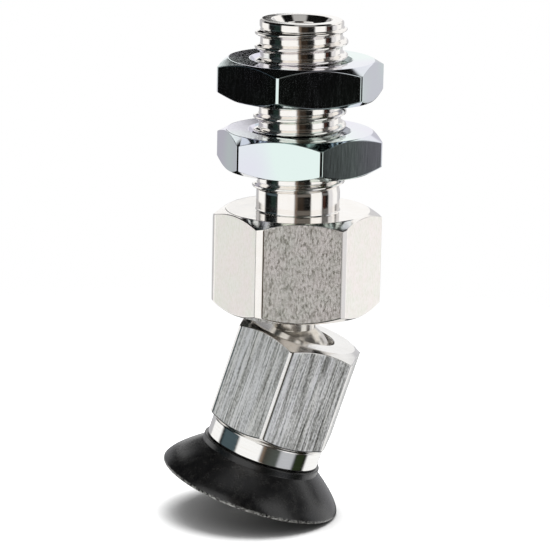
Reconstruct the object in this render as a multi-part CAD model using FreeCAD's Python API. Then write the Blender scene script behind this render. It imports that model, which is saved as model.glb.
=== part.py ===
import FreeCAD, Part
import math
import os

# Ball joint vacuum pad: a hollow threaded stud with a hexagon, a ball joint and a rubber suction pad.
# Millimetres, +Z up along the stud. The origin is on the stud axis, at the foot of its free threaded end.
# The stud hangs straight down and the housing leans about the ball's centre, bottom towards -X.

os.makedirs("parts", exist_ok=True)

# How far one solid runs into another that it is joined to or cut from
overlap = 1.0

# Stud: M10 x 1.5, its free end drawn plain and the rest as rings at the thread's pitch
stud_length = 20.6
thread_diameter = 10.0
thread_pitch = 1.5
thread_depth = 0.7
thread_crest = 0.19
free_end_length = 3.5
end_chamfer = 0.7
root_groove_width = 0.65
relief_diameter = 9.0
relief_length = 2.4

# Air passage through the stud
port_diameter = 5.0
port_depth = 12.0
port_chamfer = 0.7
passage_diameter = 2.5

# Lock nuts and the gap they leave for a mounting plate
nut_flats = 16.0
nut_height = 4.2
nut_chamfer_circle = 15.66
nut_thread_clearance = 0.06
nut_countersink = 0.45
upper_nut_turn = 14.3
lower_nut_turn = -15.4
nut_below_groove = 0.1
plate_gap = 3.5

# Hexagon under the stud
hexagon_flats = 16.0
hexagon_height = 11.0
hexagon_top_circle = 15.5
hexagon_bottom_circle = 15.6
hexagon_turn = 2.4

# Ball stud
ball_diameter = 8.0
neck_diameter = 4.4
neck_length = 5.5
shank_diameter = 5.0
shank_length = 7.0
shank_clearance = 0.04
ball_bore = 2.0
stud_seal_thickness = 0.7
stud_seal_clearance = 0.12

# Ball joint: the lean in the photo, and the seats around the ball
lean = 17.3
seat_clearance = 0.05
bore_clearance = 0.05
turning_clearance = 0.1

# Housing, its heights measured along its own axis from the ball's centre
housing_flats = 13.0
housing_turn = 21.8
housing_bottom = -8.7
housing_top_circle = 12.1
housing_bottom_circle = 12.5
retaining_lip = 0.8
ball_hold = 0.5
throat_gap = 0.16
mouth_flare = 0.15
seat_wall = 0.6
adapter_thread_step = 0.4
adapter_thread_length = 2.4

# Rings around the ball
upper_seat_bottom = 0.3
seal_height = 0.85
seal_gap = 0.1
lower_seat_above_pole = 0.75
lower_seat_chamfer = 0.35

# Disc spring between the lower seat and the adapter
spring_thickness = 0.35
spring_inner_share = 0.6
spring_gap = 0.02

# Adapter
ball_floor_gap = 0.2
adapter_hole = 3.0
collar_diameter = 12.6
collar_height = 2.35
collar_chamfer = 0.2
groove_width = 0.8
groove_depth = 0.55
stem_diameter = 5.0
button_diameter = 7.4
button_height = 0.8

# Suction pad
pad_rim_diameter = 13.2
pad_rim_height = 0.7
pad_height = 4.4
pad_ceiling = 1.2
lip_diameter = 20.0
lip_land = 0.5
lip_edge = 0.3

# Sizes and heights that follow from the values above
thread_root_diameter = thread_diameter - 2 * thread_depth
stud_top = free_end_length
upper_nut_bottom = -root_groove_width - nut_below_groove - nut_height
lower_nut_bottom = upper_nut_bottom - plate_gap - nut_height
shoulder = stud_top - stud_length
hexagon_bottom = shoulder - hexagon_height
ball_centre = hexagon_bottom - neck_length
collar_bottom = housing_bottom - collar_height
lip_plane = collar_bottom - pad_height

# The ball joint's inside, sized from the ball: the lip closes on it just above where its throat would touch
throat_diameter = ball_diameter - 2 * ball_hold
mouth_diameter = throat_diameter + 2 * mouth_flare
lip_under = math.sqrt(ball_diameter ** 2 - throat_diameter ** 2) / 2 + throat_gap
housing_top = lip_under + retaining_lip
housing_bore = ball_diameter + 2 * seat_wall
adapter_thread = housing_bore + 2 * adapter_thread_step
lower_seat_bottom = lower_seat_above_pole - ball_diameter / 2
spring_inner_diameter = spring_inner_share * housing_bore
adapter_top = -ball_diameter / 2 - ball_floor_gap


def point(radius, height):
    """A point of a turned profile, in the plane through the axis."""
    return FreeCAD.Vector(radius, 0, height)


def turned(edges):
    """A solid of revolution about Z from a closed list of edges or of points."""
    if isinstance(edges[0], FreeCAD.Vector):
        outline = Part.makePolygon(edges + [edges[0]])
    else:
        outline = Part.Wire(Part.__sortEdges__(edges))
    face = Part.Face(outline)
    solid = face.revolve(FreeCAD.Vector(0, 0, 0), FreeCAD.Vector(0, 0, 1), 360)
    return Part.Solid(solid) if solid.ShapeType == "Shell" else solid


def rod(diameter, bottom, top):
    """An upright cylinder on the Z axis."""
    return Part.makeCylinder(diameter / 2, top - bottom, point(0, bottom))


def taper(bottom_diameter, top_diameter, bottom, top):
    """An upright cone on the Z axis."""
    return Part.makeCone(bottom_diameter / 2, top_diameter / 2, top - bottom, point(0, bottom))


def ball(diameter, height=0):
    """A sphere centred on the Z axis."""
    return Part.makeSphere(diameter / 2, point(0, height))


def hexagon(flats, bottom, top, turn, bottom_circle, top_circle):
    """A hexagon bar whose ends are turned to a 30 degree chamfer, down to a circle on each end face."""
    corner = flats / 2 / math.cos(math.radians(30))
    corners = []
    for i in range(6):
        angle = math.radians(turn + 60 * i)
        corners.append(FreeCAD.Vector(corner * math.cos(angle), corner * math.sin(angle), bottom))
    face = Part.Face(Part.makePolygon(corners + [corners[0]]))
    bar = face.extrude(FreeCAD.Vector(0, 0, top - bottom))
    outside = corner + 0.2
    slope = math.tan(math.radians(30))
    barrel = turned([
        point(0, bottom),
        point(bottom_circle / 2, bottom),
        point(outside, bottom + (outside - bottom_circle / 2) * slope),
        point(outside, top - (outside - top_circle / 2) * slope),
        point(top_circle / 2, top),
        point(0, top),
    ])
    return bar.common(barrel)


def oval_ring(inner_diameter, outer_diameter, middle, height):
    """A rubber ring of oval section, as an O-ring squeezed in its groove."""
    half_width = (outer_diameter - inner_diameter) / 4
    radius = (outer_diameter + inner_diameter) / 4
    centre = point(radius, middle)
    if height / 2 > half_width:
        section = Part.Ellipse(point(radius, middle + height / 2), point(radius + half_width, middle), centre)
    else:
        section = Part.Ellipse(point(radius + half_width, middle), point(radius, middle + height / 2), centre)
    return turned([section.toShape()])


def on_ball(shape):
    """Lean a piece built around the ball's centre, and move it to where the ball is."""
    placed = shape.copy()
    placed.rotate(FreeCAD.Vector(0, 0, 0), FreeCAD.Vector(0, 1, 0), lean)
    placed.translate(point(0, ball_centre))
    return placed


def save(name, shape):
    """Write one piece as a single solid."""
    solids = shape.removeSplitter().Solids
    if len(solids) != 1:
        raise ValueError(name + " is not one solid")
    solids[0].exportStep("parts/" + name + ".step")


def thread_rings(bottom, top):
    """Profile points of V grooves at the thread's pitch, from the lowest up; each root is a quarter pitch wide."""
    crest = thread_diameter / 2
    root = thread_root_diameter / 2
    half_open = (thread_pitch - thread_crest) / 2
    half_root = thread_pitch / 8
    start = top - thread_crest / 2
    points = []
    for i in reversed(range(int((start - bottom) / thread_pitch))):
        middle = start - (i + 0.5) * thread_pitch
        points.append(point(crest, middle - half_open))
        points.append(point(root, middle - half_root))
        points.append(point(root, middle + half_root))
        points.append(point(crest, middle + half_open))
    return points


# Stud body: thread, relief and hexagon turned from one bar, bored from the top and tapped from below
def make_stud_body():
    thread_end = shoulder + relief_length
    stud = turned([
        point(0, shoulder - overlap),
        point(relief_diameter / 2, shoulder - overlap),
        point(relief_diameter / 2, thread_end - (thread_diameter - relief_diameter) / 2),
        point(thread_diameter / 2, thread_end),
        *thread_rings(thread_end, -root_groove_width),
        point(thread_diameter / 2, -root_groove_width),
        point(thread_root_diameter / 2, -root_groove_width),
        point(thread_root_diameter / 2, 0),
        point(thread_diameter / 2, 0),
        point(thread_diameter / 2, stud_top - end_chamfer),
        point(thread_diameter / 2 - end_chamfer, stud_top),
        point(0, stud_top),
    ])
    bar = hexagon(
        hexagon_flats, hexagon_bottom, shoulder, hexagon_turn, hexagon_bottom_circle, hexagon_top_circle
    )
    seal_top = hexagon_bottom + shank_length + stud_seal_thickness
    port_floor = stud_top - port_depth
    body = stud.fuse(bar)
    body = body.cut(rod(port_diameter, port_floor, stud_top + overlap))
    mouth = taper(port_diameter, port_diameter + 2 * port_chamfer, stud_top - port_chamfer, stud_top)
    body = body.cut(mouth)
    body = body.cut(rod(passage_diameter, seal_top - overlap, port_floor + overlap))
    return body.cut(rod(shank_diameter + 2 * shank_clearance, hexagon_bottom - overlap, seal_top))


# Lock nut: thin hexagon, chamfered both ends, hole drawn plain just outside the thread
def make_lock_nut(bottom, turn):
    top = bottom + nut_height
    hole = thread_diameter + 2 * nut_thread_clearance
    wide = hole + 2 * nut_countersink
    nut = hexagon(nut_flats, bottom, top, turn, nut_chamfer_circle, nut_chamfer_circle)
    nut = nut.cut(rod(hole, bottom - overlap, top + overlap))
    nut = nut.cut(taper(wide, hole, bottom, bottom + nut_countersink))
    return nut.cut(taper(hole, wide, top - nut_countersink, top))


# Ball stud: ball, neck and threaded shank, drilled through
def make_ball_stud():
    shank_top = hexagon_bottom + shank_length
    body = ball(ball_diameter, ball_centre)
    body = body.fuse(rod(neck_diameter, ball_centre, hexagon_bottom))
    body = body.fuse(rod(shank_diameter, hexagon_bottom, shank_top))
    return body.cut(rod(ball_bore, ball_centre - ball_diameter, shank_top + overlap))


# Ball stud seal: flat washer on the floor of the tapped hole
def make_ball_stud_seal():
    bottom = hexagon_bottom + shank_length
    top = bottom + stud_seal_thickness
    washer = rod(shank_diameter - 2 * stud_seal_clearance, bottom, top)
    return washer.cut(rod(passage_diameter, bottom - overlap, top + overlap))


# Housing: hexagon with a conical mouth, a retaining lip, the seats' bore and the adapter's thread
def make_housing():
    thread_top = housing_bottom + adapter_thread_length
    body = hexagon(
        housing_flats, housing_bottom, housing_top, housing_turn, housing_bottom_circle, housing_top_circle
    )
    body = body.cut(taper(throat_diameter, mouth_diameter, lip_under, housing_top))
    body = body.cut(rod(housing_bore, housing_bottom - overlap, lip_under))
    return body.cut(rod(adapter_thread, housing_bottom - overlap, thread_top))


# Upper seat: plastic ring under the retaining lip, its inside part of a sphere
def make_upper_seat():
    ring = rod(housing_bore - 2 * bore_clearance, upper_seat_bottom, lip_under)
    return ring.cut(ball(ball_diameter + 2 * seat_clearance))


# Ball seal: O-ring squeezed between the ball's equator and the bore
def make_ball_seal():
    middle = upper_seat_bottom - seal_gap - seal_height / 2
    inner = ball_diameter + 2 * seat_clearance
    return oval_ring(inner, housing_bore - bore_clearance, middle, seal_height)


# Lower seat: plastic ring that the spring pushes up against the ball
def make_lower_seat():
    top = upper_seat_bottom - 2 * seal_gap - seal_height
    outside = housing_bore / 2 - turning_clearance
    ring = turned([
        point(0, top),
        point(outside, top),
        point(outside, lower_seat_bottom + lower_seat_chamfer),
        point(outside - lower_seat_chamfer, lower_seat_bottom),
        point(0, lower_seat_bottom),
    ])
    return ring.cut(ball(ball_diameter + 2 * seat_clearance))


# Disc spring: coned washer, wide end on the adapter and narrow end under the lower seat
def make_disc_spring():
    outer = housing_bore / 2 - turning_clearance
    inner = spring_inner_diameter / 2
    top = lower_seat_bottom - spring_gap
    return turned([
        point(outer, adapter_top),
        point(outer, adapter_top + spring_thickness),
        point(inner, top),
        point(inner, top - spring_thickness),
    ])


# Adapter: threaded spigot with a seal groove, round collar, and a stem with a button that holds the pad
def make_pad_adapter():
    pilot = housing_bore / 2 - bore_clearance
    thread = adapter_thread / 2 - bore_clearance
    thread_top = housing_bottom + adapter_thread_length - bore_clearance
    groove_top = (adapter_top + thread_top + groove_width) / 2
    collar = collar_diameter / 2
    button_top = collar_bottom - pad_ceiling
    body = turned([
        point(0, adapter_top),
        point(pilot, adapter_top),
        point(pilot, groove_top),
        point(pilot - groove_depth, groove_top),
        point(pilot - groove_depth, groove_top - groove_width),
        point(pilot, groove_top - groove_width),
        point(pilot, thread_top),
        point(thread, thread_top),
        point(thread, housing_bottom),
        point(collar - collar_chamfer, housing_bottom),
        point(collar, housing_bottom - collar_chamfer),
        point(collar, collar_bottom + collar_chamfer),
        point(collar - collar_chamfer, collar_bottom),
        point(stem_diameter / 2, collar_bottom),
        point(stem_diameter / 2, button_top),
        point(button_diameter / 2, button_top),
        point(button_diameter / 2 - button_height / 2, button_top - button_height),
        point(0, button_top - button_height),
    ])
    return body.cut(rod(adapter_hole, lip_plane, adapter_top + overlap))


# Adapter seal: O-ring squeezed in the spigot's groove
def make_adapter_seal():
    thread_top = housing_bottom + adapter_thread_length - bore_clearance
    middle = (adapter_top + thread_top) / 2
    inner = housing_bore - 2 * bore_clearance - 2 * groove_depth
    return oval_ring(inner, housing_bore, middle, groove_width - seal_gap)


# Suction pad: moulded rubber cup, flared from its rim to a thin lip and hollow below
def make_suction_pad():
    rim = pad_rim_diameter / 2
    lip = lip_diameter / 2
    hole = stem_diameter / 2
    flare_top = collar_bottom - pad_rim_height
    flare_end = lip_plane + lip_edge
    spread = lip - rim
    drop = flare_top - flare_end
    ceiling = collar_bottom - pad_ceiling
    inner_lip = lip - lip_land
    inner_spread = inner_lip - rim
    depth = ceiling - lip_plane
    flare = Part.BezierCurve()
    flare.setPoles([
        point(rim, flare_top),
        point(rim + 0.33 * spread, flare_top - 0.25 * drop),
        point(rim + 0.88 * spread, flare_top - 0.68 * drop),
        point(lip, flare_end),
    ])
    hollow = Part.BezierCurve()
    hollow.setPoles([
        point(inner_lip, lip_plane),
        point(rim + 0.86 * inner_spread, ceiling - 0.73 * depth),
        point(rim + 0.35 * inner_spread, ceiling - 0.36 * depth),
        point(rim - 0.6, ceiling),
    ])
    corners = [
        point(rim - 0.6, ceiling),
        point(hole, ceiling),
        point(hole, collar_bottom),
        point(rim, collar_bottom),
        point(rim, flare_top),
    ]
    edges = [Part.makeLine(a, b) for a, b in zip(corners, corners[1:])]
    edges.append(flare.toShape())
    edges.append(Part.makeLine(point(lip, flare_end), point(lip - 0.06, lip_plane)))
    edges.append(Part.makeLine(point(lip - 0.06, lip_plane), point(inner_lip, lip_plane)))
    edges.append(hollow.toShape())
    return turned(edges)


save("stud_body", make_stud_body())
save("upper_lock_nut", make_lock_nut(upper_nut_bottom, upper_nut_turn))
save("lower_lock_nut", make_lock_nut(lower_nut_bottom, lower_nut_turn))
save("ball_stud", make_ball_stud())
save("ball_stud_seal", make_ball_stud_seal())
save("housing", on_ball(make_housing()))
save("upper_seat", on_ball(make_upper_seat()))
save("ball_seal", on_ball(make_ball_seal()))
save("lower_seat", on_ball(make_lower_seat()))
save("disc_spring", on_ball(make_disc_spring()))
save("pad_adapter", on_ball(make_pad_adapter()))
save("adapter_seal", on_ball(make_adapter_seal()))
save("suction_pad", on_ball(make_suction_pad()))
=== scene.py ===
import math

import bpy
import numpy as np
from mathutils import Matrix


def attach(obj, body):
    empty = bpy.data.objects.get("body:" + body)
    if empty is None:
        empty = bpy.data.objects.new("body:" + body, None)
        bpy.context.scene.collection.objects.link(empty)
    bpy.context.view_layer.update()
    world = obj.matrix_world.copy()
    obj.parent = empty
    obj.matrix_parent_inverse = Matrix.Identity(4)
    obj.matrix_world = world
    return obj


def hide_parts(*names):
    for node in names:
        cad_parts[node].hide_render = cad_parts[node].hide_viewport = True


# Ball joint vacuum pad, dressed for its portrait. Shapes are worked out in millimetres, in the frame of the
# CAD model: +Z up along the stud, the origin at the foot of the stud's free end, the cup leaning to -X.
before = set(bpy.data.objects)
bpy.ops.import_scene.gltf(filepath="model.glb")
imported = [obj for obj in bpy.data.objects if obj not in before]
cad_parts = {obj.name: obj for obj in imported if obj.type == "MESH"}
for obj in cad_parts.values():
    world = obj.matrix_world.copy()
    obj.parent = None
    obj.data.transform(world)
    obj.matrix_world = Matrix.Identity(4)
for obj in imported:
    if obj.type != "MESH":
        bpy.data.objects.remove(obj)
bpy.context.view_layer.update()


# Stud body
# A brass bar turned down to an M10 x 1.5 stud over a 16 mm hexagon, bored for the vacuum, then nickel plated.
# The flats are the bar's own drawn faces, satin and grained along it; what the lathe cut is bright.
STUD_TOP = 3.5
SHOULDER = -17.1
HEXAGON_BOTTOM = -28.1
HEXAGON_FLATS = 16.0
PITCH = 1.5
CREST_RADIUS = 4.99
ROOT_RADIUS = 4.40
THREAD_BOTTOM = -15.3
THREAD_TOP = 2.85
RELIEF_RADIUS = 4.5
PORT_RADIUS = 2.5
PORT_DEPTH = 12.0
PORT_CHAMFER = 0.7
PASSAGE_RADIUS = 1.25
TAPPED_RADIUS = 2.54
TAPPED_DEPTH = 7.7


def eased_profile(corners, columns):
    """Rows of a profile whose corners are rounded, for every column around the piece.

    corners is a list of (radius, height, rounding); radius and height are numbers or one value per column.
    Each corner becomes a quadratic curve from a point before it to a point after it, at most 0.35 of the way
    along its two sides, with one more row outside each end, so that the flat faces stay flat to the eye.
    """
    path = np.array([[np.broadcast_to(r, columns), np.broadcast_to(h, columns)] for r, h, _ in corners])
    rows = [path[0]]
    for i in range(1, len(corners) - 1):
        here = path[i]
        back = path[i - 1] - here
        ahead = path[i + 1] - here
        back_length = np.maximum(np.hypot(*back), 1e-9)
        ahead_length = np.maximum(np.hypot(*ahead), 1e-9)
        reach = np.minimum(corners[i][2], 0.35 * np.minimum(back_length, ahead_length))
        before = here + back / back_length * reach
        after = here + ahead / ahead_length * reach
        rows.append(here + back / back_length * reach * 1.28)
        for s in np.linspace(0, 1, 5):
            rows.append((1 - s) ** 2 * before + 2 * s * (1 - s) * here + s ** 2 * after)
        rows.append(here + ahead / ahead_length * reach * 1.28)
    rows.append(path[-1])
    return np.array(rows)


def hexagon_outline(flats, before, after, eases, turn):
    """Radius and direction of each column around a hexagon bar, and which columns are on its broken edges.

    One sixth runs from the middle of a flat to the middle of the next. A narrow bevel leaves the first flat
    at a distance before its corner and meets the next at a distance after it, each end with its own ease.
    Six copies, the first turned by turn degrees and the others by 60 more each, close the outline.
    """
    corner = flats / 2 / math.cos(math.radians(30))
    half = flats / 2 * math.tan(math.radians(30))
    arriving = np.exp(1j * np.radians(60))
    leaving = np.exp(1j * np.radians(120))
    stops = [
        corner - half * arriving,
        corner - before * arriving,
        corner + after * leaving,
        corner + half * leaving,
    ]
    rounding = [0, *eases, 0]
    bevel = eased_profile([(p.real, p.imag, ease) for p, ease in zip(stops, rounding)], 1)[1:-1, :, 0]
    bevel = bevel[:, 0] + 1j * bevel[:, 1]
    first = stops[0] + (bevel[0] - stops[0]) * np.linspace(0, 0.93, 9)
    second = bevel[-1] + (stops[3] - bevel[-1]) * np.linspace(0.07, 0.90, 8)
    sixth = np.concatenate([first, bevel, second])
    broken = np.repeat([False, True, False], [len(first), len(bevel) - 1, len(second) + 1])
    turns = np.exp(1j * np.radians(turn + 60 * np.arange(6)))
    around = (turns[:, None] * sixth[None, :]).ravel()
    return np.abs(around), around / np.abs(around), np.tile(broken, 6)


def flat_faces(piece, broken):
    """1 for each face on the flats of a hexagon piece and 0 for every other face, to choose its material.

    A corner of the profile takes 7 rows and the flats lie between the second corner and the third, so they
    are rows 13 to 17, from the end of the lower rounding to the middle of the upper, without broken edges.
    """
    row, column = np.divmod(np.arange(len(piece.data.polygons)), len(broken))
    return ((row > 12) & (row < 18) & ~broken[column]).astype(np.int32)


def turned_piece(name, rows, around, place=None):
    """A closed skin from rows of (radius, height) per column and each column's direction around the axis.

    The point of row i and column j is radius times the direction, at that height. The last row joins the
    first to close the profile, and the last column joins the first around it. place moves the points, in mm.
    """
    radius, height = rows[:, 0], rows[:, 1]
    points = np.stack([radius * around.real, radius * around.imag, height], -1)
    if place is not None:
        points = place(points)
    count, columns = radius.shape
    index = np.arange(count * columns).reshape(count, columns)
    up = np.roll(index, -1, 0)
    beside = np.roll(index, -1, 1)
    across = np.roll(up, -1, 1)
    faces = np.stack([index, beside, across, up], -1).reshape(-1, 4)
    mesh = bpy.data.meshes.new(name)
    mesh.from_pydata((points.reshape(-1, 3) * 0.001).tolist(), [], faces.tolist())
    mesh.polygons.foreach_set("use_smooth", np.ones(len(faces), bool))
    piece = bpy.data.objects.new(name, mesh)
    bpy.context.scene.collection.objects.link(piece)
    return piece


def colour(code):
    """An sRGB hex colour as linear red, green, blue and alpha."""
    parts = [int(code[i:i + 2], 16) / 255 for i in (1, 3, 5)]
    return [c / 12.92 if c <= 0.04045 else ((c + 0.055) / 1.055) ** 2.4 for c in parts] + [1.0]


def add(tree, kind, inputs=None, **settings):
    """Add a node, with its settings, and set or link each of its inputs by name or number."""
    made = tree.nodes.new(kind)
    for key, value in settings.items():
        setattr(made, key, value)
    for key, value in (inputs or {}).items():
        if isinstance(value, bpy.types.NodeSocket):
            tree.links.new(value, made.inputs[key])
        else:
            made.inputs[key].default_value = value
    return made


def repeats(*sizes):
    """How often each size, in millimetres, fits into one metre: the scale of a pattern of that size."""
    return [1000 / size for size in sizes]


def bare_material(name):
    """A new material with an empty node tree."""
    material = bpy.data.materials.new(name)
    material.use_nodes = True
    material.node_tree.nodes.clear()
    return material, material.node_tree


# Drawn brass under nickel: a satin face with short die lines along the bar, 0.17 mm wide, and pits 0.25 mm
# across, drawn at about twice their real size so that they show. The plating is dull there and scatters
# light, so they speckle a flat that mirrors the dark. Drifts 2.4 mm wide go from pale to faintly pink.
drawn_nickel, tree = bare_material("drawn_brass_nickel_plated")
place = add(tree, "ShaderNodeTexCoord").outputs["Object"]
grain_map = add(tree, "ShaderNodeMapping", {"Vector": place, "Scale": repeats(0.17, 0.17, 0.50)})
grain = add(tree, "ShaderNodeTexNoise", {"Vector": grain_map.outputs[0], "Scale": 1.0, "Detail": 3.0})
pits_map = add(tree, "ShaderNodeMapping", {"Vector": place, "Scale": repeats(0.23, 0.23, 0.26)})
pits = add(tree, "ShaderNodeTexNoise", {"Vector": pits_map.outputs[0], "Scale": 1.0, "Detail": 4.0})
drift = add(tree, "ShaderNodeTexNoise", {"Vector": place, "Scale": 1000 / 2.4, "Detail": 2.0})
drift_range = add(tree, "ShaderNodeMapRange", {"Value": drift.outputs[0], "From Min": 0.35, "From Max": 0.65})
relief = add(tree, "ShaderNodeMath", {0: pits.outputs[0], 1: 0.6, 2: grain.outputs[0]},
             operation="MULTIPLY_ADD")
cloud = add(tree, "ShaderNodeMath", {0: drift.outputs[0], 1: 0.12, 2: relief.outputs[0]},
            operation="MULTIPLY_ADD")
speck = add(tree, "ShaderNodeMapRange", {"Value": cloud.outputs[0], "From Min": 0.63, "From Max": 0.97})
shade = add(tree, "ShaderNodeMix", {"Factor": speck.outputs[0], 6: colour("#f3f3eb"), 7: colour("#fffdfb")},
            data_type="RGBA")
tint = add(tree, "ShaderNodeMix", {
    "Factor": drift_range.outputs[0], 6: colour("#fcfcf8"), 7: colour("#fffaf9")}, data_type="RGBA")
base = add(tree, "ShaderNodeMix", {"Factor": 1.0, 6: shade.outputs[2], 7: tint.outputs[2]},
           data_type="RGBA", blend_type="MULTIPLY")
rough = add(tree, "ShaderNodeMapRange", {"Value": speck.outputs[0], "To Min": 0.29, "To Max": 0.42})
metal = add(tree, "ShaderNodeMapRange", {"Value": speck.outputs[0], "To Min": 0.98, "To Max": 0.72})
bump = add(tree, "ShaderNodeBump", {"Strength": 0.4, "Distance": 0.00004, "Height": relief.outputs[0]})
shader = add(tree, "ShaderNodeBsdfPrincipled", {
    "Base Color": base.outputs[2], "Metallic": metal.outputs[0], "Roughness": rough.outputs[0],
    "Normal": bump.outputs[0]})
add(tree, "ShaderNodeOutputMaterial", {"Surface": shader.outputs[0]})

# Turned brass under nickel: bright and a little warm, with tool marks every 0.12 mm along the axis, drawn as
# coarse as a quick cut leaves them so that they show, and stains 1.6 mm wide that are barely duller.
turned_nickel, tree = bare_material("turned_brass_nickel_plated")
place = add(tree, "ShaderNodeTexCoord").outputs["Object"]
marks_map = add(tree, "ShaderNodeMapping", {"Vector": place, "Scale": repeats(3.8, 3.8, 0.12)})
marks = add(tree, "ShaderNodeTexNoise", {"Vector": marks_map.outputs[0], "Scale": 1.0, "Detail": 2.0})
stain = add(tree, "ShaderNodeTexNoise", {"Vector": place, "Scale": 1000 / 1.6, "Detail": 3.0})
base = add(tree, "ShaderNodeMix", {"Factor": stain.outputs[0], 6: colour("#f3eee7"), 7: colour("#fffdfb")},
           data_type="RGBA")
rough = add(tree, "ShaderNodeMapRange", {"Value": stain.outputs[0], "From Min": 0.3, "From Max": 0.7,
                                         "To Min": 0.07, "To Max": 0.13})
bump = add(tree, "ShaderNodeBump", {"Strength": 0.25, "Distance": 0.00001, "Height": marks.outputs[0]})
shader = add(tree, "ShaderNodeBsdfPrincipled", {
    "Base Color": base.outputs[2], "Metallic": 1.0, "Roughness": rough.outputs[0], "Normal": bump.outputs[0]})
add(tree, "ShaderNodeOutputMaterial", {"Surface": shader.outputs[0]})


def chamfered_bar(outline, bottom, top, bottom_circle, top_circle, rounding):
    """The four outer corners of a hexagon bar whose ends are turned to a 30 degree cone, for each column.

    The cone starts on a circle of the end face and rises 1 for every 1.73 outwards until it meets the bar.
    """
    slope = math.tan(math.radians(30))
    return [
        (bottom_circle / 2, bottom, rounding),
        (outline, bottom + (outline - bottom_circle / 2) * slope, rounding),
        (outline, top - (outline - top_circle / 2) * slope, rounding),
        (top_circle / 2, top, rounding),
    ]


def thread_rows(angle, bottom, top, crest, root, crest_height):
    """Rows of a right-handed thread, its height above the root a function of the angle and the height.

    Along one pitch the flank falls evenly from a crest a tenth of a pitch wide to a root four tenths wide,
    and is half blended with a smooth step, which rounds both. A full turn moves the crest up by one pitch.
    """
    height = np.linspace(bottom, top, int((top - bottom) / PITCH * 30))[:, None]
    phase = (height - crest_height) / PITCH - angle / (2 * np.pi)
    away = np.abs((phase + 0.5) % 1.0 - 0.5) * 2
    flank = np.clip((0.60 - away) / 0.50, 0, 1)
    flank = 0.5 * flank + 0.5 * flank * flank * (3 - 2 * flank)
    radius = root + (crest - root) * flank
    return np.stack([radius, np.broadcast_to(height, radius.shape)], 1)


def smooth_step(start, end, value):
    """0 before start, 1 after end, and an S curve between them."""
    t = np.clip((value - start) / (end - start), 0, 1)
    return t * t * (3 - 2 * t)


outline, around, broken = hexagon_outline(
    HEXAGON_FLATS, before=0.20, after=0.62, eases=(0.06, 0.11), turn=2.4)
columns = len(outline)
# The profile starts and ends on the flat bottom face, where its seam can't be seen, as on the pieces below
hexagon_rows = eased_profile(
    [(5.4, HEXAGON_BOTTOM, 0)]
    + chamfered_bar(outline, HEXAGON_BOTTOM, SHOULDER, bottom_circle=15.6, top_circle=15.5, rounding=0.10)
    + [(RELIEF_RADIUS, SHOULDER, 0.18), (RELIEF_RADIUS, THREAD_BOTTOM - 0.05, 0)], columns)
screw_rows = thread_rows(
    np.angle(around), THREAD_BOTTOM, THREAD_TOP, CREST_RADIUS, ROOT_RADIUS, crest_height=1.2)
# The thread runs out between these heights, below into its relief groove and above into the turned end
for starts, ends in ((-14.45, -15.1), (2.5, 2.8)):
    run_out = smooth_step(starts, ends, screw_rows[:, 1])
    screw_rows[:, 0] += run_out * (RELIEF_RADIUS - screw_rows[:, 0])
bore_rows = eased_profile([
    (RELIEF_RADIUS, THREAD_TOP + 0.05, 0),
    (RELIEF_RADIUS, STUD_TOP - 0.2, 0.08),
    (RELIEF_RADIUS - 0.2, STUD_TOP, 0.08),
    (PORT_RADIUS + PORT_CHAMFER, STUD_TOP, 0.08),
    (PORT_RADIUS, STUD_TOP - PORT_CHAMFER, 0.10),
    (PORT_RADIUS, STUD_TOP - PORT_DEPTH, 0.05),
    (PASSAGE_RADIUS, STUD_TOP - PORT_DEPTH, 0.05),
    (PASSAGE_RADIUS, HEXAGON_BOTTOM + TAPPED_DEPTH, 0.05),
    (TAPPED_RADIUS, HEXAGON_BOTTOM + TAPPED_DEPTH, 0.05),
    (TAPPED_RADIUS, HEXAGON_BOTTOM, 0.08),
    (4.0, HEXAGON_BOTTOM, 0),
], columns)
stud = turned_piece("stud_body_plated", np.concatenate([hexagon_rows, screw_rows, bore_rows]), around)
stud.data.materials.append(turned_nickel)
stud.data.materials.append(drawn_nickel)
stud.data.polygons.foreach_set("material_index", flat_faces(stud, broken))
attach(stud, "stud")
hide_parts("stud_body")


# Lock nuts
# Two thin steel hexagon nuts, chamfered on both ends and bright plated. They run on the stud's thread and
# clamp a mounting plate between them; the tapped hole keeps clear of the thread, as in the CAD model.
NUT_FLATS = 16.0
NUT_HEIGHT = 4.2
NUT_CIRCLE = 15.66
NUT_HOLE_RADIUS = 5.06
COUNTERSINK = 0.45

# Bright plated steel: a mirror whose passivated skin has a cool cast, from mint to lavender across 10 mm,
# with very faint lines up the flats, 0.2 mm apart, from the drawn bar under the plate.
plated_steel, tree = bare_material("steel_bright_plated")
place = add(tree, "ShaderNodeTexCoord").outputs["Object"]
cast = add(tree, "ShaderNodeTexNoise", {"Vector": place, "Scale": 1000 / 10.5, "Detail": 1.0})
cast_range = add(tree, "ShaderNodeMapRange", {"Value": cast.outputs[0], "From Min": 0.4, "From Max": 0.6})
base = add(tree, "ShaderNodeMix", {
    "Factor": cast_range.outputs[0], 6: colour("#e4f3ef"), 7: colour("#e3e1ee")}, data_type="RGBA")
scratch_map = add(tree, "ShaderNodeMapping", {"Vector": place, "Scale": repeats(0.22, 0.22, 1.7)})
scratch = add(tree, "ShaderNodeTexNoise", {"Vector": scratch_map.outputs[0], "Scale": 1.0, "Detail": 3.0})
rough = add(tree, "ShaderNodeMapRange", {"Value": scratch.outputs[0], "From Min": 0.35, "From Max": 0.7,
                                         "To Min": 0.04, "To Max": 0.10})
bump = add(tree, "ShaderNodeBump", {"Strength": 0.2, "Distance": 0.000003, "Height": scratch.outputs[0]})
shader = add(tree, "ShaderNodeBsdfPrincipled", {
    "Base Color": base.outputs[2], "Metallic": 1.0, "Roughness": rough.outputs[0], "Normal": bump.outputs[0]})
add(tree, "ShaderNodeOutputMaterial", {"Surface": shader.outputs[0]})

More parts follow.
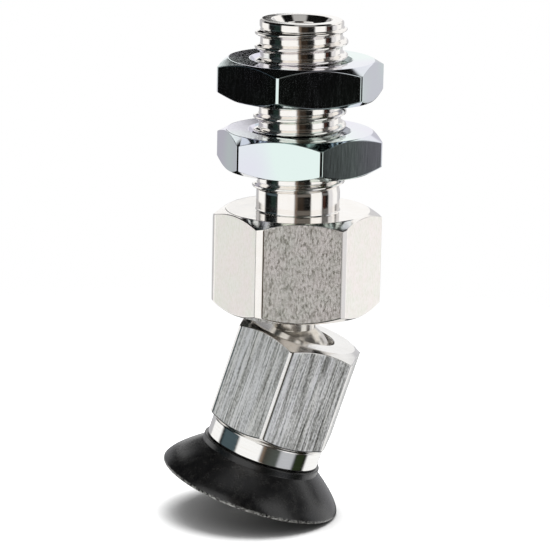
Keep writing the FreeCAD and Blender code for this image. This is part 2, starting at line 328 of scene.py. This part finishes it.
for node, body, bottom, turn in (
    ("upper_lock_nut", "upper_nut", -4.95, 14.3),
    ("lower_lock_nut", "lower_nut", -12.65, -15.4),
):
    top = bottom + NUT_HEIGHT
    outline, around, _ = hexagon_outline(NUT_FLATS, before=0.18, after=0.18, eases=(0.05, 0.05), turn=turn)
    rows = eased_profile(
        [(6.6, bottom, 0)]
        + chamfered_bar(outline, bottom, top, NUT_CIRCLE, NUT_CIRCLE, rounding=0.08)
        + [
            (NUT_HOLE_RADIUS + COUNTERSINK, top, 0.06),
            (NUT_HOLE_RADIUS, top - COUNTERSINK, 0.06),
            (NUT_HOLE_RADIUS, bottom + COUNTERSINK, 0.06),
            (NUT_HOLE_RADIUS + COUNTERSINK, bottom, 0.06),
            (6.2, bottom, 0),
        ], len(outline))
    nut = turned_piece(node + "_plated", rows, around)
    nut.data.materials.append(plated_steel)
    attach(nut, body)
    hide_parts(node)


# Ball stud
# A stainless ball on a thin neck, drilled through for the vacuum and screwed up into the hexagon. Only the
# neck and the crown of the ball show, ground and polished after turning.
BALL_CENTRE = -33.6
BALL_RADIUS = 4.0
BALL_BORE_RADIUS = 1.0
NECK_RADIUS = 2.2
SHANK_RADIUS = 2.5
SHANK_LENGTH = 7.0
SHANK_START = 0.02

# Polished stainless: a soft, warm mirror with fine grinding lines around it, every 0.15 mm.
stainless, tree = bare_material("stainless_ground_polished")
place = add(tree, "ShaderNodeTexCoord").outputs["Object"]
lines_map = add(tree, "ShaderNodeMapping", {"Vector": place, "Scale": repeats(5.0, 5.0, 0.15)})
lines = add(tree, "ShaderNodeTexNoise", {"Vector": lines_map.outputs[0], "Scale": 1.0, "Detail": 2.0})
base = add(tree, "ShaderNodeMix", {"Factor": lines.outputs[0], 6: colour("#e9e3d8"), 7: colour("#fbf8f2")},
           data_type="RGBA")
rough = add(tree, "ShaderNodeMapRange", {"Value": lines.outputs[0], "From Min": 0.3, "From Max": 0.7,
                                         "To Min": 0.16, "To Max": 0.26})
shader = add(tree, "ShaderNodeBsdfPrincipled", {
    "Base Color": base.outputs[2], "Metallic": 0.8, "Roughness": rough.outputs[0]})
add(tree, "ShaderNodeOutputMaterial", {"Surface": shader.outputs[0]})


def circle(columns):
    """The direction of each column of a round piece, evenly around its axis."""
    return np.exp(1j * np.linspace(0, 2 * np.pi, columns, endpoint=False))


columns = 96
around = circle(columns)
# The ball runs from its bore at the bottom pole up to the neck, as angles from the top pole
bore_angle = np.pi - math.asin(BALL_BORE_RADIUS / BALL_RADIUS)
neck_angle = math.asin(NECK_RADIUS / BALL_RADIUS)
last_angle = neck_angle + 0.04
polar = np.linspace(bore_angle, neck_angle + 0.06, 60)[:, None] * np.ones(columns)
ball_rows = np.stack([BALL_RADIUS * np.sin(polar), BALL_CENTRE + BALL_RADIUS * np.cos(polar)], 1)
neck_rows = eased_profile([
    (BALL_RADIUS * math.sin(last_angle), BALL_CENTRE + BALL_RADIUS * math.cos(last_angle), 0),
    (NECK_RADIUS, BALL_CENTRE + BALL_RADIUS * math.cos(neck_angle), 0.25),
    (NECK_RADIUS, HEXAGON_BOTTOM + SHANK_START, 0.02),
    (SHANK_RADIUS, HEXAGON_BOTTOM + SHANK_START, 0.02),
    (SHANK_RADIUS, HEXAGON_BOTTOM + SHANK_LENGTH, 0.2),
    (BALL_BORE_RADIUS, HEXAGON_BOTTOM + SHANK_LENGTH, 0.1),
    (BALL_BORE_RADIUS, BALL_CENTRE, 0),
], columns)
ball_stud = turned_piece("ball_stud_polished", np.concatenate([ball_rows, neck_rows]), around)
ball_stud.data.materials.append(stainless)
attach(ball_stud, "stud")
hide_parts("ball_stud")


# Ball joint's hidden rings
# Washer, two plastic seats, two rubber rings and a disc spring, all inside the hexagon or the housing. They
# keep their CAD shapes and get the finish that shows when the joint is taken apart.

# Turned acetal: ivory and waxy, with lathe lines every 0.2 mm.
acetal, tree = bare_material("acetal_turned")
place = add(tree, "ShaderNodeTexCoord").outputs["Object"]
cuts_map = add(tree, "ShaderNodeMapping", {"Vector": place, "Scale": repeats(3.3, 3.3, 0.20)})
cuts = add(tree, "ShaderNodeTexNoise", {"Vector": cuts_map.outputs[0], "Scale": 1.0, "Detail": 2.0})
base = add(tree, "ShaderNodeMix", {"Factor": cuts.outputs[0], 6: colour("#d8d3c2"), 7: colour("#e8e4d6")},
           data_type="RGBA")
bump = add(tree, "ShaderNodeBump", {"Strength": 0.2, "Distance": 0.00002, "Height": cuts.outputs[0]})
shader = add(tree, "ShaderNodeBsdfPrincipled", {
    "Base Color": base.outputs[2], "Roughness": 0.42, "IOR": 1.48, "Normal": bump.outputs[0]})
add(tree, "ShaderNodeOutputMaterial", {"Surface": shader.outputs[0]})

# Moulded nitrile: near black, with a talc bloom in patches 1.1 mm wide.
nitrile, tree = bare_material("nitrile_moulded")
place = add(tree, "ShaderNodeTexCoord").outputs["Object"]
bloom = add(tree, "ShaderNodeTexNoise", {"Vector": place, "Scale": 1000 / 1.1, "Detail": 4.0})
base = add(tree, "ShaderNodeMix", {"Factor": bloom.outputs[0], 6: colour("#19191a"), 7: colour("#303031")},
           data_type="RGBA")
rough = add(tree, "ShaderNodeMapRange", {"Value": bloom.outputs[0], "To Min": 0.4, "To Max": 0.75})
shader = add(tree, "ShaderNodeBsdfPrincipled", {
    "Base Color": base.outputs[2], "Roughness": rough.outputs[0], "IOR": 1.52})
add(tree, "ShaderNodeOutputMaterial", {"Surface": shader.outputs[0]})

# Tempered spring steel: stamped, grey with a straw and blue temper in patches 2.5 mm wide.
spring_steel, tree = bare_material("spring_steel_tempered")
place = add(tree, "ShaderNodeTexCoord").outputs["Object"]
temper = add(tree, "ShaderNodeTexNoise", {"Vector": place, "Scale": 1000 / 2.5, "Detail": 3.0})
base = add(tree, "ShaderNodeMix", {"Factor": temper.outputs[0], 6: colour("#6c6a72"), 7: colour("#8d8474")},
           data_type="RGBA")
shader = add(tree, "ShaderNodeBsdfPrincipled", {
    "Base Color": base.outputs[2], "Metallic": 1.0, "Roughness": 0.35})
add(tree, "ShaderNodeOutputMaterial", {"Surface": shader.outputs[0]})

for node, finish in (
    ("ball_stud_seal", acetal),
    ("upper_seat", acetal),
    ("lower_seat", acetal),
    ("ball_seal", nitrile),
    ("adapter_seal", nitrile),
    ("disc_spring", spring_steel),
):
    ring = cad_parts[node]
    ring.data.materials.clear()
    ring.data.materials.append(finish)


# Housing
# A 13 mm hexagon of aluminium bar, bored for the seats and closed over the ball by a lip with a conical
# mouth. The flats are brushed along the bar; the end faces and chamfers are turned bright. It leans about
# the ball, and its heights are measured along its own axis from the ball's centre.
LEAN = math.radians(17.3)
HOUSING_FLATS = 13.0
HOUSING_BOTTOM = -8.7
HOUSING_TOP = 2.896
LIP_UNDER = 2.097
MOUTH_RADIUS = 3.65
THROAT_RADIUS = 3.5
SEAT_RADIUS = 4.6
SOCKET_RADIUS = 5.0
SOCKET_TOP = -6.3


def leaned(points):
    """Turn points built around the ball's centre by the lean about Y, and move them to the ball."""
    x, y, z = points[..., 0], points[..., 1], points[..., 2]
    return np.stack([
        x * math.cos(LEAN) + z * math.sin(LEAN),
        y,
        z * math.cos(LEAN) - x * math.sin(LEAN) + BALL_CENTRE,
    ], -1)


# The same turn and move for a pattern, so that it follows the leaning pieces
HEAD_PLACE = {"Location": (0, 0, BALL_CENTRE * 0.001), "Rotation": (0, LEAN, 0)}

# Brushed aluminium: hair lines 0.14 mm wide and 5 mm long down the bar, on bands 1.1 mm wide, with nicks of
# 0.2 mm in them, all drawn about twice as wide as they are so that they show. The light lines scatter light
# and stay pale where a flat mirrors the dark, and the brushing stretches what the flats mirror.
brushed_aluminium, tree = bare_material("aluminium_bar_brushed")
place = add(tree, "ShaderNodeTexCoord").outputs["Object"]
bar_place = add(tree, "ShaderNodeMapping", {"Vector": place, **HEAD_PLACE}, vector_type="TEXTURE")
hair_map = add(tree, "ShaderNodeMapping", {"Vector": bar_place.outputs[0], "Scale": repeats(0.14, 0.14, 5.0)})
hair = add(tree, "ShaderNodeTexNoise", {"Vector": hair_map.outputs[0], "Scale": 1.0, "Detail": 3.0})
band_map = add(tree, "ShaderNodeMapping", {"Vector": bar_place.outputs[0], "Scale": repeats(1.1, 1.1, 25.0)})
band = add(tree, "ShaderNodeTexNoise", {"Vector": band_map.outputs[0], "Scale": 1.0, "Detail": 2.0})
nick_map = add(tree, "ShaderNodeMapping", {
    "Vector": bar_place.outputs[0], "Scale": repeats(0.18, 0.18, 0.30)})
nick = add(tree, "ShaderNodeTexNoise", {"Vector": nick_map.outputs[0], "Scale": 1.0, "Detail": 3.0})
lines = add(tree, "ShaderNodeMath", {0: band.outputs[0], 1: 0.45, 2: hair.outputs[0]},
            operation="MULTIPLY_ADD")
grain = add(tree, "ShaderNodeMath", {0: nick.outputs[0], 1: 0.5, 2: lines.outputs[0]},
            operation="MULTIPLY_ADD")
streak = add(tree, "ShaderNodeMapRange", {"Value": grain.outputs[0], "From Min": 0.73, "From Max": 1.07})
shade = add(tree, "ShaderNodeMix", {"Factor": streak.outputs[0], 6: colour("#8b8b87"), 7: colour("#ffffff")},
            data_type="RGBA")
tint = add(tree, "ShaderNodeMix", {"Factor": band.outputs[0], 6: colour("#f1f0e6"), 7: colour("#f8f9ff")},
           data_type="RGBA")
base = add(tree, "ShaderNodeMix", {"Factor": 1.0, 6: shade.outputs[2], 7: tint.outputs[2]},
           data_type="RGBA", blend_type="MULTIPLY")
rough = add(tree, "ShaderNodeMapRange", {"Value": streak.outputs[0], "To Min": 0.42, "To Max": 0.30})
metal = add(tree, "ShaderNodeMapRange", {"Value": streak.outputs[0], "To Min": 0.98, "To Max": 0.64})
bump = add(tree, "ShaderNodeBump", {"Strength": 0.8, "Distance": 0.00003, "Height": grain.outputs[0]})
bar_axis = add(tree, "ShaderNodeVectorTransform", {0: (math.sin(LEAN), 0, math.cos(LEAN))},
               vector_type="VECTOR", convert_from="OBJECT", convert_to="WORLD")
shader = add(tree, "ShaderNodeBsdfPrincipled", {
    "Base Color": base.outputs[2], "Metallic": metal.outputs[0], "Roughness": rough.outputs[0],
    "Anisotropic": 0.85, "Anisotropic Rotation": 0.25, "Tangent": bar_axis.outputs[0],
    "Normal": bump.outputs[0]})
add(tree, "ShaderNodeOutputMaterial", {"Surface": shader.outputs[0]})

# Turned aluminium: bright faces with rings about the bar's axis, 0.15 mm apart, and a soft haze 3.3 mm wide.
turned_aluminium, tree = bare_material("aluminium_turned_bright")
place = add(tree, "ShaderNodeTexCoord").outputs["Object"]
bar_place = add(tree, "ShaderNodeMapping", {"Vector": place, **HEAD_PLACE}, vector_type="TEXTURE")
apart = add(tree, "ShaderNodeSeparateXYZ", {0: bar_place.outputs[0]})
flat_place = add(tree, "ShaderNodeCombineXYZ", {0: apart.outputs[0], 1: apart.outputs[1]})
radius = add(tree, "ShaderNodeVectorMath", {0: flat_place.outputs[0]}, operation="LENGTH")
depth = add(tree, "ShaderNodeMath", {0: radius.outputs["Value"], 1: apart.outputs[2]}, operation="ADD")
rings = add(tree, "ShaderNodeTexNoise", {"W": depth.outputs[0], "Scale": 1000 / 0.15, "Detail": 2.0},
            noise_dimensions="1D")
haze = add(tree, "ShaderNodeTexNoise", {"Vector": place, "Scale": 1000 / 3.3, "Detail": 2.0})
base = add(tree, "ShaderNodeMix", {"Factor": haze.outputs[0], 6: colour("#e4e2de"), 7: colour("#f4f3f2")},
           data_type="RGBA")
rough = add(tree, "ShaderNodeMapRange", {"Value": rings.outputs[0], "From Min": 0.3, "From Max": 0.7,
                                         "To Min": 0.10, "To Max": 0.20})
bump = add(tree, "ShaderNodeBump", {"Strength": 0.15, "Distance": 0.00001, "Height": rings.outputs[0]})
shader = add(tree, "ShaderNodeBsdfPrincipled", {
    "Base Color": base.outputs[2], "Metallic": 1.0, "Roughness": rough.outputs[0], "Normal": bump.outputs[0]})
add(tree, "ShaderNodeOutputMaterial", {"Surface": shader.outputs[0]})

outline, around, broken = hexagon_outline(
    HOUSING_FLATS, before=0.25, after=0.25, eases=(0.04, 0.14), turn=21.8)
columns = len(outline)
housing_rows = eased_profile(
    [(5.6, HOUSING_BOTTOM, 0)]
    + chamfered_bar(outline, HOUSING_BOTTOM, HOUSING_TOP, bottom_circle=12.5, top_circle=12.1, rounding=0.10)
    + [
        (MOUTH_RADIUS, HOUSING_TOP, 0.10),
        (THROAT_RADIUS, LIP_UNDER, 0.05),
        (SEAT_RADIUS, LIP_UNDER, 0.03),
        (SEAT_RADIUS, SOCKET_TOP, 0.03),
        (SOCKET_RADIUS, SOCKET_TOP, 0.03),
        (SOCKET_RADIUS, HOUSING_BOTTOM, 0.05),
        (5.4, HOUSING_BOTTOM, 0),
    ], columns)
housing = turned_piece("housing_brushed", housing_rows, around, leaned)
housing.data.materials.append(turned_aluminium)
housing.data.materials.append(brushed_aluminium)
housing.data.polygons.foreach_set("material_index", flat_faces(housing, broken))
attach(housing, "pad_head")
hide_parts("housing")


# Pad adapter
# A turned aluminium plug that screws up into the housing and holds the spring. Its polished collar shows as
# a bright ring under the housing; a stem with a button below snaps into the rubber pad.
COLLAR_BOTTOM = -11.05
COLLAR_RADIUS = 6.3
COLLAR_CHAMFER = 0.2
SCREW_RADIUS = 4.95
SCREW_TOP = -6.35
SPIGOT_RADIUS = 4.55
SPIGOT_TOP = -4.2
GROOVE_RADIUS = 4.0
GROOVE_BOTTOM = -5.675
GROOVE_TOP = -4.875
STEM_RADIUS = 2.5
BUTTON_RADIUS = 3.7
BUTTON_TOP = -12.25
BUTTON_BOTTOM = -13.05
AIR_HOLE_RADIUS = 1.5

# Polished aluminium: almost a mirror, with very fine rings about its axis every 0.1 mm, coarser than the
# polish really leaves so that they break up what the collar mirrors.
polished_aluminium, tree = bare_material("aluminium_turned_polished")
place = add(tree, "ShaderNodeTexCoord").outputs["Object"]
plug_place = add(tree, "ShaderNodeMapping", {"Vector": place, **HEAD_PLACE}, vector_type="TEXTURE")
rings_map = add(tree, "ShaderNodeMapping", {
    "Vector": plug_place.outputs[0], "Scale": repeats(6.7, 6.7, 0.10)})
rings = add(tree, "ShaderNodeTexNoise", {"Vector": rings_map.outputs[0], "Scale": 1.0, "Detail": 2.0})
base = add(tree, "ShaderNodeMix", {"Factor": rings.outputs[0], 6: colour("#f1efea"), 7: colour("#fdfdfc")},
           data_type="RGBA")
rough = add(tree, "ShaderNodeMapRange", {"Value": rings.outputs[0], "From Min": 0.3, "From Max": 0.7,
                                         "To Min": 0.07, "To Max": 0.13})
shader = add(tree, "ShaderNodeBsdfPrincipled", {
    "Base Color": base.outputs[2], "Metallic": 1.0, "Roughness": rough.outputs[0]})
add(tree, "ShaderNodeOutputMaterial", {"Surface": shader.outputs[0]})

columns = 128
around = circle(columns)
adapter_rows = eased_profile([
    (2.0, BUTTON_BOTTOM, 0),
    (BUTTON_RADIUS - 0.4, BUTTON_BOTTOM, 0.10),
    (BUTTON_RADIUS, BUTTON_TOP, 0.05),
    (STEM_RADIUS, BUTTON_TOP, 0.05),
    (STEM_RADIUS, COLLAR_BOTTOM, 0.05),
    (COLLAR_RADIUS - COLLAR_CHAMFER, COLLAR_BOTTOM, 0.05),
    (COLLAR_RADIUS, COLLAR_BOTTOM + COLLAR_CHAMFER, 0.06),
    (COLLAR_RADIUS, HOUSING_BOTTOM - COLLAR_CHAMFER, 0.06),
    (COLLAR_RADIUS - COLLAR_CHAMFER, HOUSING_BOTTOM, 0.05),
    (SCREW_RADIUS, HOUSING_BOTTOM, 0.05),
    (SCREW_RADIUS, SCREW_TOP, 0.10),
    (SPIGOT_RADIUS, SCREW_TOP, 0.05),
    (SPIGOT_RADIUS, GROOVE_BOTTOM, 0.05),
    (GROOVE_RADIUS, GROOVE_BOTTOM, 0.05),
    (GROOVE_RADIUS, GROOVE_TOP, 0.05),
    (SPIGOT_RADIUS, GROOVE_TOP, 0.05),
    (SPIGOT_RADIUS, SPIGOT_TOP, 0.05),
    (AIR_HOLE_RADIUS, SPIGOT_TOP, 0.10),
    (AIR_HOLE_RADIUS, BUTTON_BOTTOM, 0.05),
    (1.8, BUTTON_BOTTOM, 0),
], columns)
adapter = turned_piece("pad_adapter_polished", adapter_rows, around, leaned)
adapter.data.materials.append(polished_aluminium)
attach(adapter, "pad_head")
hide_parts("pad_adapter")


# Suction pad
# A moulded nitrile cup, pressed over the adapter's button. It flares like a trumpet from a short rim under
# the collar to a thin lip that lies on the work, and is hollow below.
LIP_PLANE = -15.45
LIP_RADIUS = 10.0
LIP_LAND = 0.5
LIP_EDGE = 0.3
RIM_RADIUS = 6.6
RIM_HEIGHT = 0.7
CEILING = COLLAR_BOTTOM - 1.2


def bezier(poles, share):
    """Points of a cubic Bezier curve: each pole counts by its Bernstein weight at that share of the way."""
    s = share[:, None]
    weights = np.concatenate([(1 - s) ** 3, 3 * s * (1 - s) ** 2, 3 * s * s * (1 - s), s ** 3], 1)
    return weights @ np.array(poles)


# Nitrile rubber moulded in a matte mould: near black with a low sheen, a fine grain 0.25 mm wide, and a thin
# bloom that greys it in patches 0.7 mm wide. A pale highlight is painted along the lip's lower edge, broken
# into crumbs.
pad_rubber, tree = bare_material("nitrile_pad_matte")
place = add(tree, "ShaderNodeTexCoord").outputs["Object"]
grit = add(tree, "ShaderNodeTexNoise", {"Vector": place, "Scale": 1000 / 0.25, "Detail": 3.0})
patch = add(tree, "ShaderNodeTexNoise", {"Vector": place, "Scale": 1000 / 0.7, "Detail": 4.0})
bloom = add(tree, "ShaderNodeMapRange", {"Value": patch.outputs[0], "From Min": 0.40, "From Max": 0.75})
clean = add(tree, "ShaderNodeMix", {"Factor": grit.outputs[0], 6: colour("#060607"), 7: colour("#0d0d0e")},
            data_type="RGBA")
body = add(tree, "ShaderNodeMix", {"Factor": bloom.outputs[0], 6: clean.outputs[2], 7: colour("#161615")},
           data_type="RGBA")
pad_place = add(tree, "ShaderNodeMapping", {"Vector": place, **HEAD_PLACE}, vector_type="TEXTURE")
apart = add(tree, "ShaderNodeSeparateXYZ", {0: pad_place.outputs[0]})
# Painted highlight: a pale line within 0.14 to 0.40 mm of the lip plane, broken up by the grit, stands in for
# light catching the lip's edge
lip_highlight_band = add(tree, "ShaderNodeMapRange", {
    "Value": apart.outputs[2],
    "From Min": (LIP_PLANE + 0.14) * 0.001, "From Max": (LIP_PLANE + 0.40) * 0.001,
    "To Min": 1.0, "To Max": 0.0})
highlight_breakup = add(tree, "ShaderNodeMapRange", {"Value": grit.outputs[0], "From Min": 0.40, "From Max": 0.62})
painted_lip_highlight = add(tree, "ShaderNodeMath", {0: lip_highlight_band.outputs[0], 1: highlight_breakup.outputs[0]}, operation="MULTIPLY")
base = add(tree, "ShaderNodeMix", {"Factor": painted_lip_highlight.outputs[0], 6: body.outputs[2], 7: colour("#8e8e8a")},
           data_type="RGBA")
rough = add(tree, "ShaderNodeMapRange", {"Value": patch.outputs[0], "From Min": 0.3, "From Max": 0.7,
                                         "To Min": 0.22, "To Max": 0.29})
bump = add(tree, "ShaderNodeBump", {"Strength": 0.25, "Distance": 0.00003, "Height": grit.outputs[0]})
shader = add(tree, "ShaderNodeBsdfPrincipled", {
    "Base Color": base.outputs[2], "Roughness": rough.outputs[0], "IOR": 1.52, "Specular IOR Level": 0.6,
    "Normal": bump.outputs[0]})
add(tree, "ShaderNodeOutputMaterial", {"Surface": shader.outputs[0]})

columns = 160
around = circle(columns)
flare_top = COLLAR_BOTTOM - RIM_HEIGHT
flare_end = LIP_PLANE + LIP_EDGE
spread, drop = LIP_RADIUS - RIM_RADIUS, flare_top - flare_end
inner_spread, depth = LIP_RADIUS - LIP_LAND - RIM_RADIUS, CEILING - LIP_PLANE
# The middle poles of both curves lie at shares of the way out and of the way down
hollow = bezier([
    (RIM_RADIUS - 0.6, CEILING),
    (RIM_RADIUS + 0.35 * inner_spread, CEILING - 0.36 * depth),
    (RIM_RADIUS + 0.86 * inner_spread, CEILING - 0.73 * depth),
    (LIP_RADIUS - LIP_LAND, LIP_PLANE),
], np.linspace(0, 0.985, 40))
flare = bezier([
    (LIP_RADIUS, flare_end),
    (RIM_RADIUS + 0.88 * spread, flare_top - 0.68 * drop),
    (RIM_RADIUS + 0.33 * spread, flare_top - 0.25 * drop),
    (RIM_RADIUS, flare_top),
], np.linspace(0.03, 0.97, 48))
hollow_rows = np.broadcast_to(hollow[:, :, None], hollow.shape + (columns,))
lip_rows = eased_profile([
    (hollow[-1, 0], hollow[-1, 1], 0),
    (LIP_RADIUS - LIP_LAND, LIP_PLANE, 0.06),
    (LIP_RADIUS - 0.06, LIP_PLANE, 0.10),
    (LIP_RADIUS, flare_end, 0.10),
    (flare[0, 0], flare[0, 1], 0),
], columns)[1:-1]
flare_rows = np.broadcast_to(flare[:, :, None], flare.shape + (columns,))
rim_rows = eased_profile([
    (flare[-1, 0], flare[-1, 1], 0),
    (RIM_RADIUS, flare_top, 0.10),
    (RIM_RADIUS, COLLAR_BOTTOM, 0.10),
    (STEM_RADIUS, COLLAR_BOTTOM, 0.05),
    (STEM_RADIUS, CEILING, 0.05),
    (4.0, CEILING, 0),
], columns)[1:]
pad_rows = np.concatenate([hollow_rows, lip_rows, flare_rows, rim_rows])
pad = turned_piece("suction_pad_rubber", pad_rows, around, leaned)
pad.data.materials.append(pad_rubber)
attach(pad, "pad_head")
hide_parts("suction_pad")


# Studio
# A white sweep under one overhead soft box, in a dark room with light panels that only shiny surfaces mirror.
# The camera stands where the photograph was taken from.
FLOOR = -51.33
FLOOR_REACH = 130

# Matte white paper: a soft contact shadow is painted into its colour close under the pad, is gone when seen
# from below, and fades into the background from 50 to 120 mm away from the origin.
paper, tree = bare_material("paper_sweep_matte")
place = add(tree, "ShaderNodeTexCoord").outputs["Object"]
radius = add(tree, "ShaderNodeVectorMath", {0: place}, operation="LENGTH")
fade = add(tree, "ShaderNodeMapRange", {"Value": radius.outputs["Value"], "From Min": 0.05, "From Max": 0.12},
           interpolation_type="SMOOTHSTEP")
side = add(tree, "ShaderNodeNewGeometry")
gone = add(tree, "ShaderNodeMath", {0: fade.outputs[0], 1: side.outputs["Backfacing"]}, operation="MAXIMUM")
# Painted shadow: the paper's colour goes from light grey to dark grey where little open sky reaches it within
# 9 mm
open_sky = add(tree, "ShaderNodeAmbientOcclusion", {"Distance": 0.009}, samples=8)
painted_contact_shadow = add(tree, "ShaderNodeMix", {
    "Factor": open_sky.outputs["AO"], 6: colour("#303030"), 7: colour("#f6f6f6")}, data_type="RGBA")
matte = add(tree, "ShaderNodeBsdfDiffuse", {"Color": painted_contact_shadow.outputs[2]})
clear = add(tree, "ShaderNodeBsdfTransparent")
sweep = add(tree, "ShaderNodeMixShader", {0: gone.outputs[0], 1: matte.outputs[0], 2: clear.outputs[0]})
add(tree, "ShaderNodeOutputMaterial", {"Surface": sweep.outputs[0]})

corners = np.array([(-1, -1), (1, -1), (1, 1), (-1, 1)]) * FLOOR_REACH
level = np.column_stack([corners, np.full(4, FLOOR)]) * 0.001
floor_mesh = bpy.data.meshes.new("sweep_floor")
floor_mesh.from_pydata(level.tolist(), [], [(0, 1, 2, 3)])
floor = bpy.data.objects.new("sweep_floor", floor_mesh)
bpy.context.scene.collection.objects.link(floor)
floor_mesh.materials.append(paper)
floor.visible_glossy = False

# The room, laid out by the mirror that would show it to the camera: facing is how far that mirror is turned
# to the right, and tilt how far it is tipped up, in degrees. A mirror faces halfway between what it shows and
# the camera, which is taken to look down at it by 11 degrees.
world = bpy.data.worlds.new("studio")
bpy.context.scene.world = world
world.use_nodes = True
tree = world.node_tree
tree.nodes.clear()
ray = add(tree, "ShaderNodeLightPath")
direction = add(tree, "ShaderNodeTexCoord").outputs["Generated"]
look_down = math.radians(11.0)
halfway = add(tree, "ShaderNodeVectorMath", {
    0: direction, 1: (0, -math.cos(look_down), math.sin(look_down))}, operation="ADD")
apart = add(tree, "ShaderNodeSeparateXYZ", {0: halfway.outputs[0]})
toward = add(tree, "ShaderNodeMath", {0: apart.outputs[1], 1: -1.0}, operation="MULTIPLY")
turn = add(tree, "ShaderNodeMath", {0: apart.outputs[0], 1: toward.outputs[0]}, operation="ARCTAN2")
facing = add(tree, "ShaderNodeMath", {0: turn.outputs[0]}, operation="DEGREES")
unit = add(tree, "ShaderNodeVectorMath", {0: halfway.outputs[0]}, operation="NORMALIZE")
upward = add(tree, "ShaderNodeSeparateXYZ", {0: unit.outputs[0]})
rise = add(tree, "ShaderNodeMath", {0: upward.outputs[2]}, operation="ARCSINE")
tilt = add(tree, "ShaderNodeMath", {0: rise.outputs[0]}, operation="DEGREES")
# Each panel has its two sides in facing, its two ends in tilt, how soft its sides and its ends are, and its
# colour. Where panels overlap, the lighter shows.
UNLIT = "#0b0b0a"
room = None
for left, right, low, high, soft, tilt_soft, code in (
    (-29, -4.5, -50, 35, 1.5, 3.0, "#ffffff"),
    (-5, -1, -60, 35, 2.0, 3.0, "#7a6a5c"),
    (0, 8, -60, 20, 2.0, 3.0, "#30261e"),
    (-40, -31, -60, 3, 2.0, 3.0, "#1b2b27"),
    (-4, 15, -14, -3, 2.0, 3.0, "#4d524e"),
    (-48, -26, 4, 12, 2.0, 3.0, "#46555b"),
    (18, 34.5, -4.5, 35, 1.2, 3.0, "#ffffff"),
    (36, 41, -4.5, 20, 1.5, 3.0, "#3f2822"),
    (13, 29, -14, -5, 2.0, 3.0, "#bcbec3"),
    (29, 41, -18, -8, 2.0, 3.0, "#28301f"),
    (44, 73, -40, -14, 2.0, 3.0, "#ffffff"),
    (-10, 20, 42, 51, 3.0, 3.0, "#b0b0b0"),
    (46.5, 58, -24, 24, 2.0, 3.0, "#e1e1e4"),
    (56, 70, -15, 24, 2.0, 3.0, "#ffffff"),
    (66, 120, -4, 65, 3.0, 3.0, "#d3d3d6"),
    (45, 120, 60, 100, 3.0, 3.0, "#ffffff"),
    (-70.5, -51.5, -24, 24, 2.0, 3.0, "#ffffff"),
    (-92, -50, 55, 60.1, 3.0, 0.3, "#ffffff"),
    (46, 75, 38, 62, 3.0, 3.0, "#ffffff"),
    (52, 60, 22, 40, 2.0, 3.0, "#ffffff"),
    (-120, -66, -70, 50, 3.0, 3.0, "#bdbdc0"),
    (-130, -86, 50, 76, 3.0, 3.0, "#ffffff"),
    (-103, 200, 70, 100, 4.0, 3.0, "#ffffff"),
    (-200, 200, -100, -62, 4.0, 3.0, "#cbcbcb"),
    (-6, 20, 9, 17, 3.0, 3.0, "#696560"),
    (36, 48, 10, 40, 3.0, 3.0, "#6c6c6c"),
):
    lit = 1.0
    for angle, edge, softness, before, after in (
        (facing, left, soft, 0.0, 1.0),
        (facing, right, soft, 1.0, 0.0),
        (tilt, low, tilt_soft, 0.0, 1.0),
        (tilt, high, tilt_soft, 1.0, 0.0),
    ):
        inside = add(tree, "ShaderNodeMapRange", {
            "Value": angle.outputs[0], "From Min": edge - softness, "From Max": edge + softness,
            "To Min": before, "To Max": after}, interpolation_type="SMOOTHSTEP")
        lit = add(tree, "ShaderNodeMath", {0: inside.outputs[0], 1: lit}, operation="MULTIPLY").outputs[0]
    so_far = room.outputs[2] if room else colour(UNLIT)
    room = add(tree, "ShaderNodeMix", {"Factor": lit, 6: so_far, 7: colour(code)},
               data_type="RGBA", blend_type="LIGHTEN")
ambient = add(tree, "ShaderNodeBackground", {"Color": colour("#ffffff"), "Strength": 0.75})
seen = add(tree, "ShaderNodeBackground", {"Color": colour("#ffffff"), "Strength": 1.0})
reflected = add(tree, "ShaderNodeBackground", {"Color": room.outputs[2], "Strength": 1.0})
plain = add(tree, "ShaderNodeMixShader", {
    0: ray.outputs["Is Glossy Ray"], 1: ambient.outputs[0], 2: reflected.outputs[0]})
shown = add(tree, "ShaderNodeMixShader", {
    0: ray.outputs["Is Camera Ray"], 1: plain.outputs[0], 2: seen.outputs[0]})
add(tree, "ShaderNodeOutputWorld", {"Surface": shown.outputs[0]})


def aim(obj, position, target, roll=0.0):
    """Place obj so that its -Z axis points at target, with its X axis level and then turned by roll."""
    position, target = np.array(position), np.array(target)
    forward = (target - position) / np.linalg.norm(target - position)
    right = np.cross(forward, (0, 0, 1))
    right /= np.linalg.norm(right)
    up = np.cross(right, forward)
    turned_right = math.cos(roll) * right + math.sin(roll) * up
    turned_up = math.cos(roll) * up - math.sin(roll) * right
    axes = np.eye(4)
    axes[:3] = np.column_stack([turned_right, turned_up, -forward, position])
    obj.matrix_world = axes.T.tolist()
    bpy.context.scene.collection.objects.link(obj)


soft_box = bpy.data.lights.new("overhead_soft_box", "AREA")
soft_box.shape = "RECTANGLE"
soft_box.size = 0.20
soft_box.size_y = 0.20
soft_box.energy = 1.0
soft_box_lamp = bpy.data.objects.new("overhead_soft_box", soft_box)
aim(soft_box_lamp, (0.02, 0.03, 0.17), (0, 0, -0.04))
soft_box_lamp.visible_glossy = False

# The camera was fitted to the object's outline: focal length and frame in pixels, distance in metres
FOCAL_LENGTH = 3109.0
FRAME_WIDTH = 550
DISTANCE = 0.33684
camera = bpy.data.cameras.new("portrait")
camera.sensor_width = 36.0
camera.lens = FOCAL_LENGTH / FRAME_WIDTH * camera.sensor_width
camera.clip_start = 0.01
down = math.radians(13.174)
forward = np.array((0, math.cos(down), -math.sin(down)))
target = np.array((-2.293, 0.0, -24.526)) * 0.001
view = bpy.data.objects.new("portrait", camera)
aim(view, target - DISTANCE * forward, target, roll=math.radians(1.23))
bpy.context.scene.camera = view
bpy.context.scene.view_settings.view_transform = "Standard"
